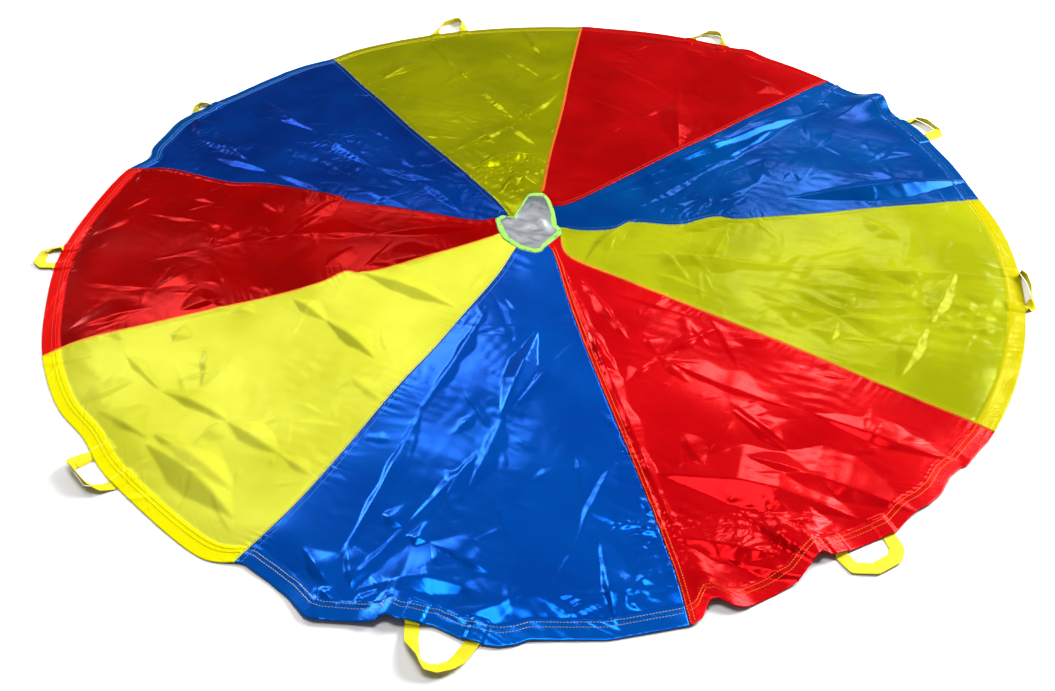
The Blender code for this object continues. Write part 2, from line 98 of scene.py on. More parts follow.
# Creases: each runs from one point to another, bowed to its left, with the height of its ridge and the
# widths of the slopes to its left and right
Crease = namedtuple("Crease", "x0 y0 x1 y1 bow high left right")
creaseRows = {
    "blue front": [
        (-58, -225, -150, -515, 4, 1.5, 6, 6), (-140, -485, -218, -800, 4, 2.0, 7, 8),
        (32, -300, -16, -510, 2, 6.5, 22, 26), (-10, -490, -50, -665, 2, 1.8, 8, 8),
        (106, -316, 2, -495, -5, 1.6, 6, 7), (-58, -500, -88, -548, 0, 1.1, 5, 5),
        (-132, -726, -30, -566, -3, 1.8, 8, 8), (-126, -716, -202, -846, 0, 1.4, 6, 6),
        (-96, -752, 8, -808, 2, 2.2, 8, 12), (-170, -704, -132, -728, 0, 2.4, 10, 10),
        (-128, -742, -94, -752, 0, 2.4, 9, 9), (-268, -772, -212, -840, 0, 2.6, 10, 10),
        (-228, -856, -210, -832, 0, 2.0, 8, 8), (-178, -840, -158, -866, 0, 2.0, 8, 8),
        (-92, -752, -70, -800, 0, 1.2, 5, 5), (168, -588, 108, -762, -3, 2.6, 9, 9),
        (104, -566, 122, -680, 2, 1.2, 5, 5), (112, -750, 78, -826, 0, 0.9, 5, 5),
        (144, -728, 170, -880, 0, 3.6, 13, 8), (76, -828, 182, -822, -2, 1.2, 5, 6),
        (176, -826, 232, -776, 0, 2.0, 8, 7), (180, -826, 200, -850, 0, 1.6, 6, 6),
        (-108, -297, 100, -296, 2, 0.8, 5, 4), (-225, -560, -180, -566, 0, 0.8, 5, 5),
        (-208, -760, -186, -840, 2, 2.4, 9, 9), (-190, -847, -6, -842, 30, 2.8, 60, 23),
        (-62, -873, 46, -824, -12, 2.6, 50, 21), (196, -660, 232, -700, 0, 1.8, 7, 7),
        (190, -700, 238, -735, 0, 1.8, 8, 7), (200, -640, 224, -650, 0, 1.4, 6, 6),
        (-30, -215, -8, -250, 0, 1.0, 5, 5), (-90, -620, -72, -650, 0, 0.9, 5, 5),
        (40, -640, 78, -610, 0, 0.8, 8, 8),
    ],
    "red front right": [
        (62, -108, 262, -762, 0, 3.4, 20, 9), (235, -357, 345, -280, 0, 2.6, 16, 9),
        (235, -357, 176, -436, 0, 2.8, 9, 24), (235, -357, 440, -470, -6, 2.2, 14, 8),
        (346, -476, 429, -568, 0, 2.2, 9, 9), (263, -525, 299, -600, 0, 2.2, 9, 9),
        (470, -480, 672, -567, -6, 3.6, 40, 16), (235, -357, 285, -420, 0, 1.8, 8, 8),
        (235, -357, 210, -300, 0, 1.6, 7, 7), (344, -454, 432, -556, 0, 2.0, 12, 7),
        (225, -612, 508, -682, 12, 8.0, 80, 38), (358, -576, 592, -668, 3, 5.7, 70, 26),
        (244, -726, 396, -754, 0, 5.7, 60, 28), (405, -698, 470, -692, 2, 3.4, 24, 16),
        (118, -296, 172, -405, 0, 3.0, 8, 26), (340, -676, 475, -795, 0, 3.2, 12, 10),
        (316, -762, 430, -792, 0, 3.0, 10, 9), (420, -690, 450, -780, 0, 2.4, 9, 9),
        (380, -660, 400, -740, 0, 2.2, 9, 9), (300, -590, 350, -500, 0, 1.4, 7, 7),
        (520, -560, 600, -540, 0, 1.4, 7, 7), (150, -190, 290, -250, 0, 1.6, 12, 7),
        (100, -150, 190, -330, 0, 2.4, 9, 16),
    ],
    "yellow right": [
        (106, -116, 206, 36, 8, 6.0, 18, 22), (281, -16, 402, 38, 12, 5.0, 20, 18),
        (190, -74, 500, -110, 3, 3.0, 8, 12), (490, -108, 876, -130, 5, 2.8, 7, 9),
        (377, -2, 338, -104, 0, 2.6, 14, 20), (698, -256, 616, -400, 0, 3.6, 16, 24),
        (778, -112, 698, -260, 0, 3.6, 16, 26), (548, -243, 425, -214, 0, 2.2, 10, 14),
        (548, -243, 645, -262, 0, 2.2, 12, 12), (548, -243, 520, -320, 0, 2.0, 9, 12),
        (548, -243, 590, -180, 0, 1.8, 9, 9), (230, -130, 330, -190, 0, 1.8, 8, 10),
        (250, -60, 300, -160, 0, 1.6, 7, 9), (640, 60, 700, -20, 0, 1.6, 8, 10),
    ],
    "blue back right": [
        (112, 92, 700, 606, -14, 15.0, 20, 52), (195, 150, 640, 480, 4, 3.0, 20, 12),
        (201, 65, 350, 212, 0, 2.6, 14, 10), (340, 200, 502, 366, 0, 2.6, 14, 10),
        (353, 88, 452, 168, 0, 2.0, 10, 9), (448, 160, 478, 222, 0, 2.0, 9, 9),
        (504, 118, 884, 196, -4, 9.0, 30, 36), (535, 168, 586, 306, -10, 2.4, 14, 14),
        (700, 566, 800, 590, 0, 14.0, 30, 30), (240, 60, 330, 110, 0, 1.8, 9, 8),
        (580, 300, 640, 380, 0, 1.6, 8, 8), (700, 250, 760, 330, 0, 1.4, 8, 8),
    ],
    "red back": [
        (304, 524, 298, 296, 0, 5.0, 30, 40), (88, 334, 200, 400, -4, 1.8, 12, 8),
        (196, 394, 285, 498, -4, 1.8, 12, 8), (99, 512, 206, 424, 0, 1.8, 10, 8),
        (148, 670, 292, 520, 0, 1.8, 12, 8), (465, 636, 556, 532, 0, 3.0, 14, 12),
        (160, 712, 274, 812, 0, 2.0, 10, 9), (315, 778, 400, 705, 0, 2.0, 10, 9),
        (105, 598, 142, 658, 0, 1.6, 8, 8), (60, 230, 140, 300, 0, 2.0, 12, 9),
    ],
    "yellow back": [
        (-316, 796, -174, 576, 2, 2.0, 12, 9), (-180, 584, -62, 408, 2, 2.0, 12, 9),
        (-400, 592, -277, 704, 6, 2.6, 12, 12), (-77, 863, -10, 706, 0, 2.2, 11, 9),
        (-140, 772, 2, 586, 0, 1.8, 10, 8), (-182, 276, -50, 410, -4, 2.4, 12, 10),
        (-56, 402, 34, 548, -6, 2.4, 12, 10), (-134, 204, -2, 266, 8, 9.0, 30, 26),
        (-78, 396, -4, 300, 0, 2.2, 12, 9), (-70, 116, -20, 205, 0, 6.0, 14, 12),
        (-40, 130, 0, 200, 0, 4.0, 10, 10), (-30, 560, 40, 640, 0, 1.8, 9, 9),
        (-250, 560, -180, 640, 0, 1.6, 8, 8), (-90, 300, -150, 370, 0, 1.8, 9, 9),
    ],
    "blue back left": [
        (-642, 604, -464, 432, -2, 1.2, 6, 5), (-468, 436, -302, 297, -2, 1.2, 6, 5),
        (-669, 491, -497, 346, -8, 3.6, 18, 16), (-502, 350, -351, 210, -4, 4.6, 20, 16),
        (-355, 214, -240, 150, 6, 3.0, 13, 11), (-252, 160, -139, 43, 6, 3.0, 12, 10),
        (-338, 285, -237, 183, 0, 2.2, 9, 9), (-798, 398, -757, 302, 6, 3.0, 14, 12),
        (-762, 308, -605, 210, 10, 3.6, 14, 12), (-745, 366, -627, 221, 0, 2.4, 11, 10),
        (-707, 236, -562, 178, 6, 3.6, 14, 12), (-568, 182, -437, 107, 6, 3.2, 13, 11),
        (-371, 133, -248, 53, 0, 2.2, 10, 9), (-600, 470, -560, 380, 0, 2.0, 9, 9),
        (-480, 260, -420, 190, 0, 2.0, 10, 9), (-300, 200, -200, 150, 0, 2.0, 10, 9),
        (-560, 300, -500, 230, 0, 1.8, 9, 9),
    ],
    "red left": [
        (-786, 28, -645, -4, -2, 1.8, 8, 7), (-650, -2, -580, -24, -2, 1.8, 8, 7),
        (-586, -80, -465, -36, -3, 1.8, 7, 8), (-472, -40, -295, -32, 4, 2.4, 12, 14),
        (-305, -34, -95, -2, 4, 3.6, 18, 20), (-838, -196, -672, -213, -4, 1.8, 8, 7),
        (-676, -215, -609, -139, 0, 2.2, 9, 9), (-792, -334, -664, -268, 6, 2.6, 11, 13),
        (-610, -274, -540, -236, 4, 2.6, 11, 13), (-378, -138, -334, -74, 0, 2.4, 10, 11),
        (-302, -130, -146, -86, 0, 3.4, 14, 14), (-441, 23, -397, 85, 0, 2.2, 9, 9),
        (-560, 80, -500, 30, 0, 1.8, 9, 8), (-720, 100, -640, 60, 0, 1.6, 8, 8),
    ],
    "yellow front left": [
        (-676, -380, -570, -476, 0, 2.0, 16, 8), (-576, -472, -443, -538, 6, 4.0, 26, 12),
        (-449, -535, -345, -601, 0, 4.3, 30, 16), (-350, -598, -276, -648, 0, 2.2, 16, 8),
        (-454, -534, -484, -592, 0, 1.6, 7, 9), (-560, -566, -392, -678, 6, 4.7, 36, 18),
        (-560, -590, -382, -724, 10, 8.0, 45, 32), (-665, -522, -560, -580, 4, 2.2, 14, 8),
        (-418, -231, -340, -291, 2, 4.0, 20, 14), (-345, -286, -236, -384, 4, 6.0, 34, 16),
        (-312, -150, -116, -246, 6, 6.0, 30, 20), (-588, -311, -595, -357, 0, 1.8, 8, 8),
        (-537, -363, -512, -465, 8, 2.2, 12, 9), (-699, -510, -627, -449, 0, 2.2, 8, 11),
        (-270, -430, -210, -480, 0, 1.6, 8, 8), (-290, -460, -240, -410, 0, 1.6, 8, 8),
        (-480, -240, -520, -300, 0, 1.6, 8, 9),
    ],
}

# the way the steep sides of a panel's creases face, and how much their heights are raised
pressedWays = {
    "blue front": (-0.95, 0.1, 1.45), "red front right": (-0.55, -0.83, 1.45),
    "yellow right": (0.85, 0.5, 1.9), "blue back right": (0.3, -0.95, 1.2), "red back": (0.8, -0.6, 1.3),
    "yellow back": (-0.5, -0.87, 2.0), "blue back left": (-0.5, -0.85, 1.3),
    "red left": (-0.7, -0.7, 1.0), "yellow front left": (-0.56, -0.83, 1.6),
}
# the width up to which a pressed crease is a narrow one, how much its steep and its gentle side are widened,
# and how much a broad one is raised
pressing = {"narrow": 15, "steep": 1.3, "gentle": 3.4, "broadHigh": 1.5}


def pressed(panel, row):
    # a narrow crease was pressed in while the cloth lay folded: one side stays steep, the other eases away
    *litWay, gain = pressedWays[panel]
    if max(row.left, row.right) > pressing["narrow"]:
        return row._replace(high=pressing["broadHigh"] * row.high)
    leftFaces = -(row.y1 - row.y0) * litWay[0] + (row.x1 - row.x0) * litWay[1]
    steep = pressing["steep"] * min(row.left, row.right)
    gentle = pressing["gentle"] * max(row.left, row.right)
    left, right = (steep, gentle) if leftFaces > 0 else (gentle, steep)
    return row._replace(high=gain * row.high, left=left, right=right)


creases = [pressed(panel, Crease(*row)) for panel, rows in creaseRows.items() for row in rows]

# patches of small crumples: where, how wide, and how deep
Crumple = namedtuple("Crumple", "x y radius depth")
crumples = [Crumple(*row) for row in (
    (400, -730, 110, 2.2), (-240, -450, 90, 0.8), (540, -170, 110, 1.1), (760, -200, 120, 0.9),
    (100, -862, 45, 2.6), (190, -712, 40, 2.4), (215, -800, 45, 1.8), (240, -700, 60, 0.9),
    (-680, 300, 130, 1.6), (-430, 300, 110, 1.0), (-200, 120, 90, 1.6), (300, 180, 150, 0.9),
    (-90, 470, 130, 1.6), (-50, 190, 80, 2.8), (180, -320, 70, 0.9), (380, 60, 90, 1.0),
)]
# where the right panel is rumpled in larger facets, and how wide
rumpled = ((560, -190, 130), (760, -220, 120))

# The loops, one to a panel at a share of its hem: the spacing of the legs, and the middle line of the
# webbing as distances along the hem and out from it, with how far the webbing leans up on edge there
Loop = namedtuple("Loop", "share spacing bends")
loops = [Loop(*row) for row in (
    (0.467, 80, [(-40, 0, 0), (-37, 24, 5), (-11, 37, 8), (23, 34, 8), (35, 23, 8), (40, 0, 0)]),
    (0.563, 94, [(-47, 0, 30), (-40, 12, -50), (-3, 12, -75), (30, 8, -75), (47, 0, -60)]),
    (0.504, 73, [(-37, 0, -20), (-36, 34, -58), (9, 34, -60), (37, 24, -40), (37, 0, -10)]),
    (0.504, 88, [(-44, 0, -50), (-24, 34, -60), (-9, 43, -56), (14, 37, -54), (44, 0, -20)]),
    (0.521, 74, [(-37, 0, -50), (-43, 23, -58), (-39, 48, -58), (-23, 52, -60), (11, 38, -58),
                 (37, 0, -20)]),
    (0.568, 50, [(-25, 0, -20), (-5, 15, -52), (14, 15, -52), (25, 0, -30)]),
    (0.520, 55, [(-27, 0, -30), (-25, 16, -26), (-18, 33, -8), (12, 34, 12), (25, 22, 12), (27, 0, 10)]),
    (0.515, 77, [(-39, 0, 5), (-38, 31, 40), (-28, 34, 84), (8, 33, 90), (22, 27, 60), (34, 16, 20),
                 (39, 0, 0)]),
    (0.500, 84, [(-42, 0, 10), (-34, 22, 25), (-14, 45, 80), (1, 52, 40), (14, 50, 30), (28, 40, 25),
                 (35, 26, 8), (42, 0, 5)]),
)]

# the outer edge of the net's binding, with the notch where the tip of one panel is folded over it
netEdge = [(-61, -13), (-50, -38), (-33, -57), (-18, -71), (0, -79), (13, -84), (25, -80), (31, -67),
           (46, -44), (60, -24), (60, -9), (50, 8), (43, 52), (33, 83), (20, 104), (3, 105), (-12, 102),
           (-18, 86), (-37, 32), (-60, 39), (-72, 27), (-61, -13)]


def polar(x, y):
    # distance from the middle, and angle in degrees counterclockwise from +X
    return np.hypot(x, y), np.degrees(np.arctan2(y, x))


def around(angle):
    # the same angle between -180 and 180
    return (np.asarray(angle, float) + 180.0) % 360.0 - 180.0


def smoothStep(low, high, value):
    # 0 below low, 1 above high, and 3t2 - 2t3 between
    t = np.clip((value - low) / (high - low), 0, 1)
    return t * t * (3 - 2 * t)


def mound(x, y, middleX, middleY, wide):
    # 1 at its middle, falling off round it as a bell curve
    return np.exp(-((x - middleX) ** 2 + (y - middleY) ** 2) / wide**2)


def reachAlong(points):
    # distances along a line of points, from its first one
    return np.concatenate([[0], np.cumsum(np.linalg.norm(np.diff(points, axis=0), axis=1))])


def pointsAt(at, reach, points):
    # points on a straight-sided line whose own points lie at the distances in reach
    return np.stack([np.interp(at, reach, part) for part in points.T], -1)


def unit(ways):
    # rows of vectors divided by their lengths
    return ways / np.linalg.norm(ways, axis=1)[:, None]


def smoothPath(points, share):
    # Catmull-Rom curve through the points, at shares 0 to 1 of the length of their chords
    points = np.asarray(points, float)
    ends = np.vstack([2 * points[0] - points[1], points, 2 * points[-1] - points[-2]])
    reach = reachAlong(points)
    along = np.clip(share, 0, 1) * reach[-1]
    part = np.clip(np.searchsorted(reach, along, side="right") - 1, 0, len(points) - 2)
    t = ((along - reach[part]) / (reach[part + 1] - reach[part]))[..., None]
    a, b, c, d = (ends[part + k] for k in range(4))
    return 0.5 * (2 * b + (c - a) * t + (2 * a - 5 * b + 4 * c - d) * t**2 + (3 * b - a - 3 * c + d) * t**3)


def swell(x, y, size, seed, waves=7):
    # smooth random field of about unit height: sine waves of the given size added in random directions
    draw = np.random.default_rng(seed)
    turns, phases, stretches = (draw.uniform(*span, waves) for span in ((0, 6.3), (0, 6.3), (0.7, 1.5)))
    total = np.zeros_like(x)
    for turn, phase, stretch in zip(turns, phases, stretches):
        total += np.sin(fullTurn * (x * np.cos(turn) + y * np.sin(turn)) * stretch / size + phase)
    return total / math.sqrt(waves / 2)


def crumple(x, y, size, seed, folds=4):
    # flat facets meeting in straight creases: triangle waves in random directions, each in its own patches
    draw = np.random.default_rng(seed)
    total = np.zeros_like(x)
    for fold in range(folds):
        turn, shift = draw.uniform(0, 3.14), draw.uniform()
        across = (x * np.cos(turn) + y * np.sin(turn)) / size + 0.3 * swell(x, y, 6 * size, seed * 31 + fold)
        patch = smoothStep(-0.2, 0.8, swell(x, y, 5 * size, seed * 57 + fold))
        total += patch * (np.abs((across + shift) % 1.0 - 0.5) * 4 - 1)
    return total


def hemBumps(angle, column):
    # bell curves round the hem added up, as high as the waves' column says
    total = np.zeros_like(np.asarray(angle, float))
    for wave in hemWaves:
        total += getattr(wave, column) * np.exp(-((around(angle - wave.angle) / wave.spread) ** 2))
    return total


def kinkedLine(points):
    # a line with straight sides as radii and angles, with points every two millimetres
    points = np.array(points, float)
    reach = reachAlong(points)
    return polar(*pointsAt(np.arange(0, reach[-1], 2.0), reach, points).T)


kinkRadii, kinkAngles = kinkedLine(hemFront)
kinkEase = 2  # degrees over which the kinked line runs into the round at its ends
netRadii, netAngles = kinkedLine(netEdge)


def hemRadius(angle):
    # the round with its bumps, and the kinked line along the front, eased into it at both ends
    plain = cloth["laidRadius"] + hemBumps(angle, "out")
    turn = around(angle)
    first, last = kinkAngles[0], kinkAngles[-1]
    share = smoothStep(first, first + kinkEase, turn) * (1 - smoothStep(last - kinkEase, last, turn))
    return plain + share * (np.interp(turn, kinkAngles, kinkRadii) - plain)


def netRadius(angle):
    # from the middle to the net's edge, straight between its points
    return np.interp(np.asarray(angle, float), netAngles, netRadii, period=360)


def panelPlan(index, u, v):
    # u runs 0 to 1 across a panel and v 0 to 1 from net to hem. The angle and radius of its two seams at v
    # are mixed by u, then eased onto the hem's outline as v nears 1, by its fourth power, and onto the
    # net's as it nears 0, by the sixth power of 1 - v.
    right, left = seams[index], seams[(index + 1) % len(seams)]
    r0, a0 = polar(*smoothPath(right.points, v).T)
    r1, a1 = polar(*smoothPath(left.points, v).T)
    sweep = (a1 - a0) % 360.0
    angle = a0 + u * sweep
    radius = r0 + u * (r1 - r0)
    inner, outer = ([np.hypot(*seam.points[end]) for seam in (right, left)] for end in (0, -1))
    radius = radius + v**4 * (hemRadius(angle) - (outer[0] + u * (outer[1] - outer[0])))
    rim = netRadius(angle) + cloth["netGap"]
    radius = radius + (1 - v) ** 6 * (rim - (inner[0] + u * (inner[1] - inner[0])))
    turn = np.radians(angle)
    return radius * np.cos(turn), radius * np.sin(turn), radius * np.radians(sweep)


def loopLegs(index, loop):
    # the two points on the hem's edge where a loop leaves it, and the ways along the hem and outward
    ends = [polar(*seams[(index + k) % len(seams)].points[-1])[1] for k in range(2)]
    arc = np.radians((ends[1] - ends[0]) % 360.0) * cloth["laidRadius"]
    half = 0.5 * loop.spacing / arc
    x, y, _ = panelPlan(index, np.array([loop.share - half, loop.share + half]), np.ones(2))
    legs = np.stack([x, y], -1)
    across = (legs[1] - legs[0]) / np.linalg.norm(legs[1] - legs[0])
    return legs, across, np.array([across[1], -across[0]])


tabs = {"length": 30.0, "rise": 2.2, "half": 11.0, "soft": 4.0, "end": 5}  # webbing under the hem lifts it
tabPlaces = []
for number, loop in enumerate(loops):
    legs, across, _ = loopLegs(number, loop)
    tabPlaces += [(*leg, *across) for leg in legs]


def tabRise(x, y):
    # flat-topped bump over each tab, falling off over a few millimetres round it
    total = np.zeros_like(x)
    for tabX, tabY, wayX, wayY in tabPlaces:
        side = np.abs((x - tabX) * wayX + (y - tabY) * wayY)
        depth = -(x - tabX) * wayY + (y - tabY) * wayX
        over = 1 - smoothStep(tabs["half"] - 1, tabs["half"] + tabs["soft"], side)
        under = 1 - smoothStep(tabs["length"], tabs["length"] + tabs["end"], np.abs(depth))
        total = np.maximum(total, over * under)
    return total * tabs["rise"]


small = {
    "count": 760,
    "seed": 4,
    "radius": (90, 790),  # the nearest to the middle, and how much further out the others lie
    "length": (16.0, 130.0),
    "few": 2.2,  # the more, the fewer are long
    "high": (0.3, 1.8),
    "slope": (0.14, 0.38),
    "ease": 3,  # how much wider the gentle side is
    "bow": 0.06,
    "dents": (0.3, -0.6),  # how many are dents, and their height for a ridge's
}


def smallCreases():
    # short creases over the whole cloth: lengths and heights drawn so that small ones are many, and every
    # third one starts where the last one started, so that some meet in stars. A few are dents.
    draw = np.random.default_rng(small["seed"])
    count = small["count"]
    radius = small["radius"][0] + small["radius"][1] * np.sqrt(draw.uniform(0, 1, count))
    place = draw.uniform(0, 2 * math.pi, count)
    turn = draw.uniform(0, 2 * math.pi, count)
    share = draw.uniform(0, 1, count) ** small["few"]
    length = small["length"][0] + (small["length"][1] - small["length"][0]) * share
    high = small["high"][0] + (small["high"][1] - small["high"][0]) * share * draw.uniform(0.5, 1, count)
    slopes = draw.uniform(*small["slope"], (count, 2))
    sign = np.where(draw.uniform(0, 1, count) < small["dents"][0], small["dents"][1], 1.0)
    bow = draw.uniform(-small["bow"], small["bow"], count) * length
    x0, y0 = radius * np.cos(place), radius * np.sin(place)
    x0[1::3], y0[1::3] = x0[::3][: len(x0[1::3])], y0[::3][: len(y0[1::3])]
    x1, y1 = x0 + length * np.cos(turn), y0 + length * np.sin(turn)
    left, right = high / slopes[:, 0], small["ease"] * high / slopes[:, 1]
    return [Crease(*row) for row in np.stack([x0, y0, x1, y1, bow, high * sign, left, right], -1)]


allCreases = creases + smallCreases()
ridges = {
    "round": 1.5,
    "hip": 0.4,  # the share of its length over which a ridge falls off at either end
    "ripple": (0.22, 9),  # how uneven a narrow ridge is, and how narrow its slopes are for that
    "waves": (6, 18),  # radians along any ridge, and mm for each radian more
}


def creaseHeight(x, y):
    # each crease is a hipped roof: the height falls in a straight line from its bowed ridge to the foot of
    # either slope and along the ridge to its two ends, and is rounded a little at the ridge
    total = np.zeros_like(x)
    box = (x.min(), x.max(), y.min(), y.max())
    for row in allCreases:
        margin = max(row.left, row.right) + abs(row.bow)
        lowX, highX = min(row.x0, row.x1) - margin, max(row.x0, row.x1) + margin
        lowY, highY = min(row.y0, row.y1) - margin, max(row.y0, row.y1) + margin
        if highX < box[0] or lowX > box[1] or highY < box[2] or lowY > box[3]:
            continue
        near = np.flatnonzero((x > lowX) & (x < highX) & (y > lowY) & (y < highY))
        nearX, nearY = x[near] - row.x0, y[near] - row.y0
        wayX, wayY = row.x1 - row.x0, row.y1 - row.y0
        length = math.hypot(wayX, wayY)
        share = (nearX * wayX + nearY * wayY) / length**2
        away = (-nearX * wayY + nearY * wayX) / length - row.bow * 4 * share * (1 - share)
        foot = np.where(away > 0, row.left, row.right)
        ridge = np.sqrt(away**2 + ridges["round"] ** 2) - ridges["round"]
        hip = np.clip(np.minimum(share, 1 - share) / ridges["hip"], 0, 1)
        ripple = ridges["ripple"][0] * min(1, (ridges["ripple"][1] / min(row.left, row.right)) ** 2)
        turns = ridges["waves"][0] + length / ridges["waves"][1]
        uneven = 1 - ripple + ripple * np.sin(share * turns + row.x0)
        total[near] += np.clip(hip * uneven - ridge / foot, 0, 1) * row.high
    return total


# How the slack cloth stands off the floor. The facets' rows hold their height, their width and their seed.
slack = {
    "base": 0.6,
    "least": 0.3,
    "loft": 5.0,
    "swell": (260, 3),  # mm from one swell to the next, and seed
    "edge": (-10, 80),  # mm in from the hem's edge, where the loft starts and where it is full
    "depth": (0.5, 0.25, 400, 11),  # of the crumples everywhere, its change, the width of that and its seed
    "depthRange": (0.1, 3),
    "facets": ((0.22, 62, 5), (0.14, 27, 8)),
    "deepFacets": (0.4, 15, 9),  # only where the crumples are deeper than deepFrom
    "deepFrom": 1.3,
    "rumples": (0.9, 44, 17),
    "liftReach": 70.0,  # how far in a lifted hem lifts the cloth
    "netFold": (10, 95, 45.0),  # the folded tip over the net's back edge: its middle and how wide it is
    "netFoldHigh": 9.0,
}


def facets(x, y, high, size, seed):
    # a crumple as one of slack's rows gives it
    return high * crumple(x, y, size, seed)


def clothHeight(x, y):
    # height of the cloth's lower face: slack loft, creases, crumpled patches, and the hem's waves and tabs
    radius, angle = polar(x, y)
    fromEdge = hemRadius(angle) - radius
    inside = smoothStep(*slack["edge"], fromEdge)
    depth, change, *wave = slack["depth"]
    depth = depth + change * swell(x, y, *wave)
    for spot in crumples:
        depth = depth + spot.depth * mound(x, y, spot.x, spot.y, spot.radius)
    depth = np.clip(depth, *slack["depthRange"]) * (0.4 + 0.6 * inside)
    height = slack["base"] + slack["loft"] * (0.8 + 0.2 * swell(x, y, *slack["swell"])) * inside
    height = height + creaseHeight(x, y) + sum(depth * facets(x, y, *row) for row in slack["facets"])
    height += np.maximum(depth - slack["deepFrom"], 0) * facets(x, y, *slack["deepFacets"])
    height += np.minimum(sum(mound(x, y, *patch) for patch in rumpled), 1) * facets(x, y, *slack["rumples"])
    height += hemBumps(angle, "lift") * np.exp(-((fromEdge / slack["liftReach"]) ** 2))
    height += slack["netFoldHigh"] * mound(x, y, *slack["netFold"])
    return np.maximum(height, slack["least"]) + tabRise(x, y)


# the lap of a seam, and the puckers along its stitches and the hem's
seamRise = {"wide": 9.0, "high": 0.7, "pucker": 0.28, "puckerPitch": 13.0, "puckerReach": 16.0,
            "hemLine": 24}
# which side of a seam is lapped over the other
overSide = {("blue", "red"): "after", ("red", "yellow"): "after", ("yellow", "blue"): "before"}


def puckers(along, away, seed):
    # short ripples across a line of stitches: sines along it of two lengths, stronger in some stretches
    # than in others, dying out away from it
    turn = fullTurn * along / seamRise["puckerPitch"]
    wave = np.sin(turn + 1.7 * np.sin(turn * 0.23 + seed)) + 0.6 * np.sin(turn * 1.83 + seed)
    patch = np.clip(0.5 + np.sin(turn * 0.071 + 2 * seed) + 0.6 * np.sin(turn * 0.17 + seed), 0, 1.5)
    return seamRise["pucker"] * patch * wave * np.exp(-away / seamRise["puckerReach"])


def panelTop(index, u, v):
    # the cloth's upper face: the lower face plus its thickness, the lapped seam and hem, and their puckers
    x, y, width = panelPlan(index, u, v)
    radius, angle = polar(x, y)
    fromEdge = hemRadius(angle) - radius
    low, high = cloth["hemWidth"] - cloth["hemEase"], cloth["hemWidth"] + cloth["hemEase"]
    inHem = 1 - smoothStep(low, high, fromEdge)
    thick = cloth["thick"] + (cloth["hemThick"] - cloth["thick"]) * inHem
    rise = np.zeros_like(x)
    for side, away in ((0, u * width), (1, (1 - u) * width)):
        seam = seams[(index + side) % len(seams)]
        if overSide[(seam.before, seam.after)] == ("before" if side else "after"):
            rise += seamRise["high"] * (1 - smoothStep(seamRise["wide"] - 1, seamRise["wide"] + 1, away))
        rise += puckers(radius, away, index + side) * smoothStep(0, 100, radius - 80)
    rise += puckers(radius * np.radians(angle), np.abs(fromEdge - seamRise["hemLine"]), 3.0) * 0.8
    edge = np.clip(1 - fromEdge / cloth["edgeRound"], 0, 1)
    rounding = 0.5 * (1 - np.sqrt(1 - edge**2))
    low = clothHeight(x, y) + np.maximum(rise, -0.2)
    return x, y, low + thick - rounding, thick - rounding, fromEdge, width, inHem


def steppedGrid(shares, columns):
    # rows of points from the hem inwards, each with its own number of columns. Two rows meet by two
    # triangles a cell, or by three where one has half as many columns.
    starts = np.concatenate([[0], np.cumsum(columns + 1)])
    u = np.concatenate([np.linspace(0, 1, count + 1) for count in columns])
    faces = []
    for a, b, n, m in zip(starts[:-2], starts[1:-1], columns[:-1], columns[1:]):
        j = np.arange(min(n, m))
        if n == m:
            strips = ((a + j, a + j + 1, b + j), (a + j + 1, b + j + 1, b + j))
        elif n > m:
            odd = a + 2 * j + 1
            strips = ((odd - 1, odd, b + j), (odd, b + j + 1, b + j), (odd, odd + 1, b + j + 1))
        else:
            odd = b + 2 * j + 1
            strips = ((a + j, odd, odd - 1), (a + j, a + j + 1, odd), (a + j + 1, odd + 1, odd))
        faces += [np.stack(strip, 1) for strip in strips]
    first, last = starts[:-1], starts[1:] - 1
    top, end = np.arange(columns[0] + 1), last[-1] - 1 - np.arange(columns[-1])
    rim = np.concatenate([top, last[1:], end, first[-2:0:-1]])
    return u, np.repeat(shares, columns + 1), np.concatenate(faces), rim


grid = {
    "step": 3.0,
    "hemLines": [0, 0.4, 1.1, 2.4, 28.2, 30.0, 31.8],  # closer rows at the hem's edge and its inner line
    "clear": 1.6,
    "narrows": (300, 590, 735),  # mm from the edge, with half the columns past each
    "columns": (208, 104, 52, 26),
    "under": (4, 13),  # the lower face has a fourth of the columns, and 13 at least
}


def sheetRows():
    # each row's share from net to hem, its columns on the upper face, and its columns on the lower one
    lines = grid["hemLines"]
    steps = np.arange(1.5 * grid["step"], panelLength, grid["step"])
    plain = [step for step in steps if min(abs(step - line) for line in lines) > grid["clear"]]
    steps = np.sort(np.array(lines + plain + [panelLength]))
    *widest, narrowest = grid["columns"]
    columns = np.select([steps < narrow for narrow in grid["narrows"]], widest, narrowest)
    under = np.maximum(columns // grid["under"][0], grid["under"][1])
    under[0], under[1], under[-1] = columns[0], columns[0] // 2, narrowest
    return 1 - steps / panelLength, columns, under


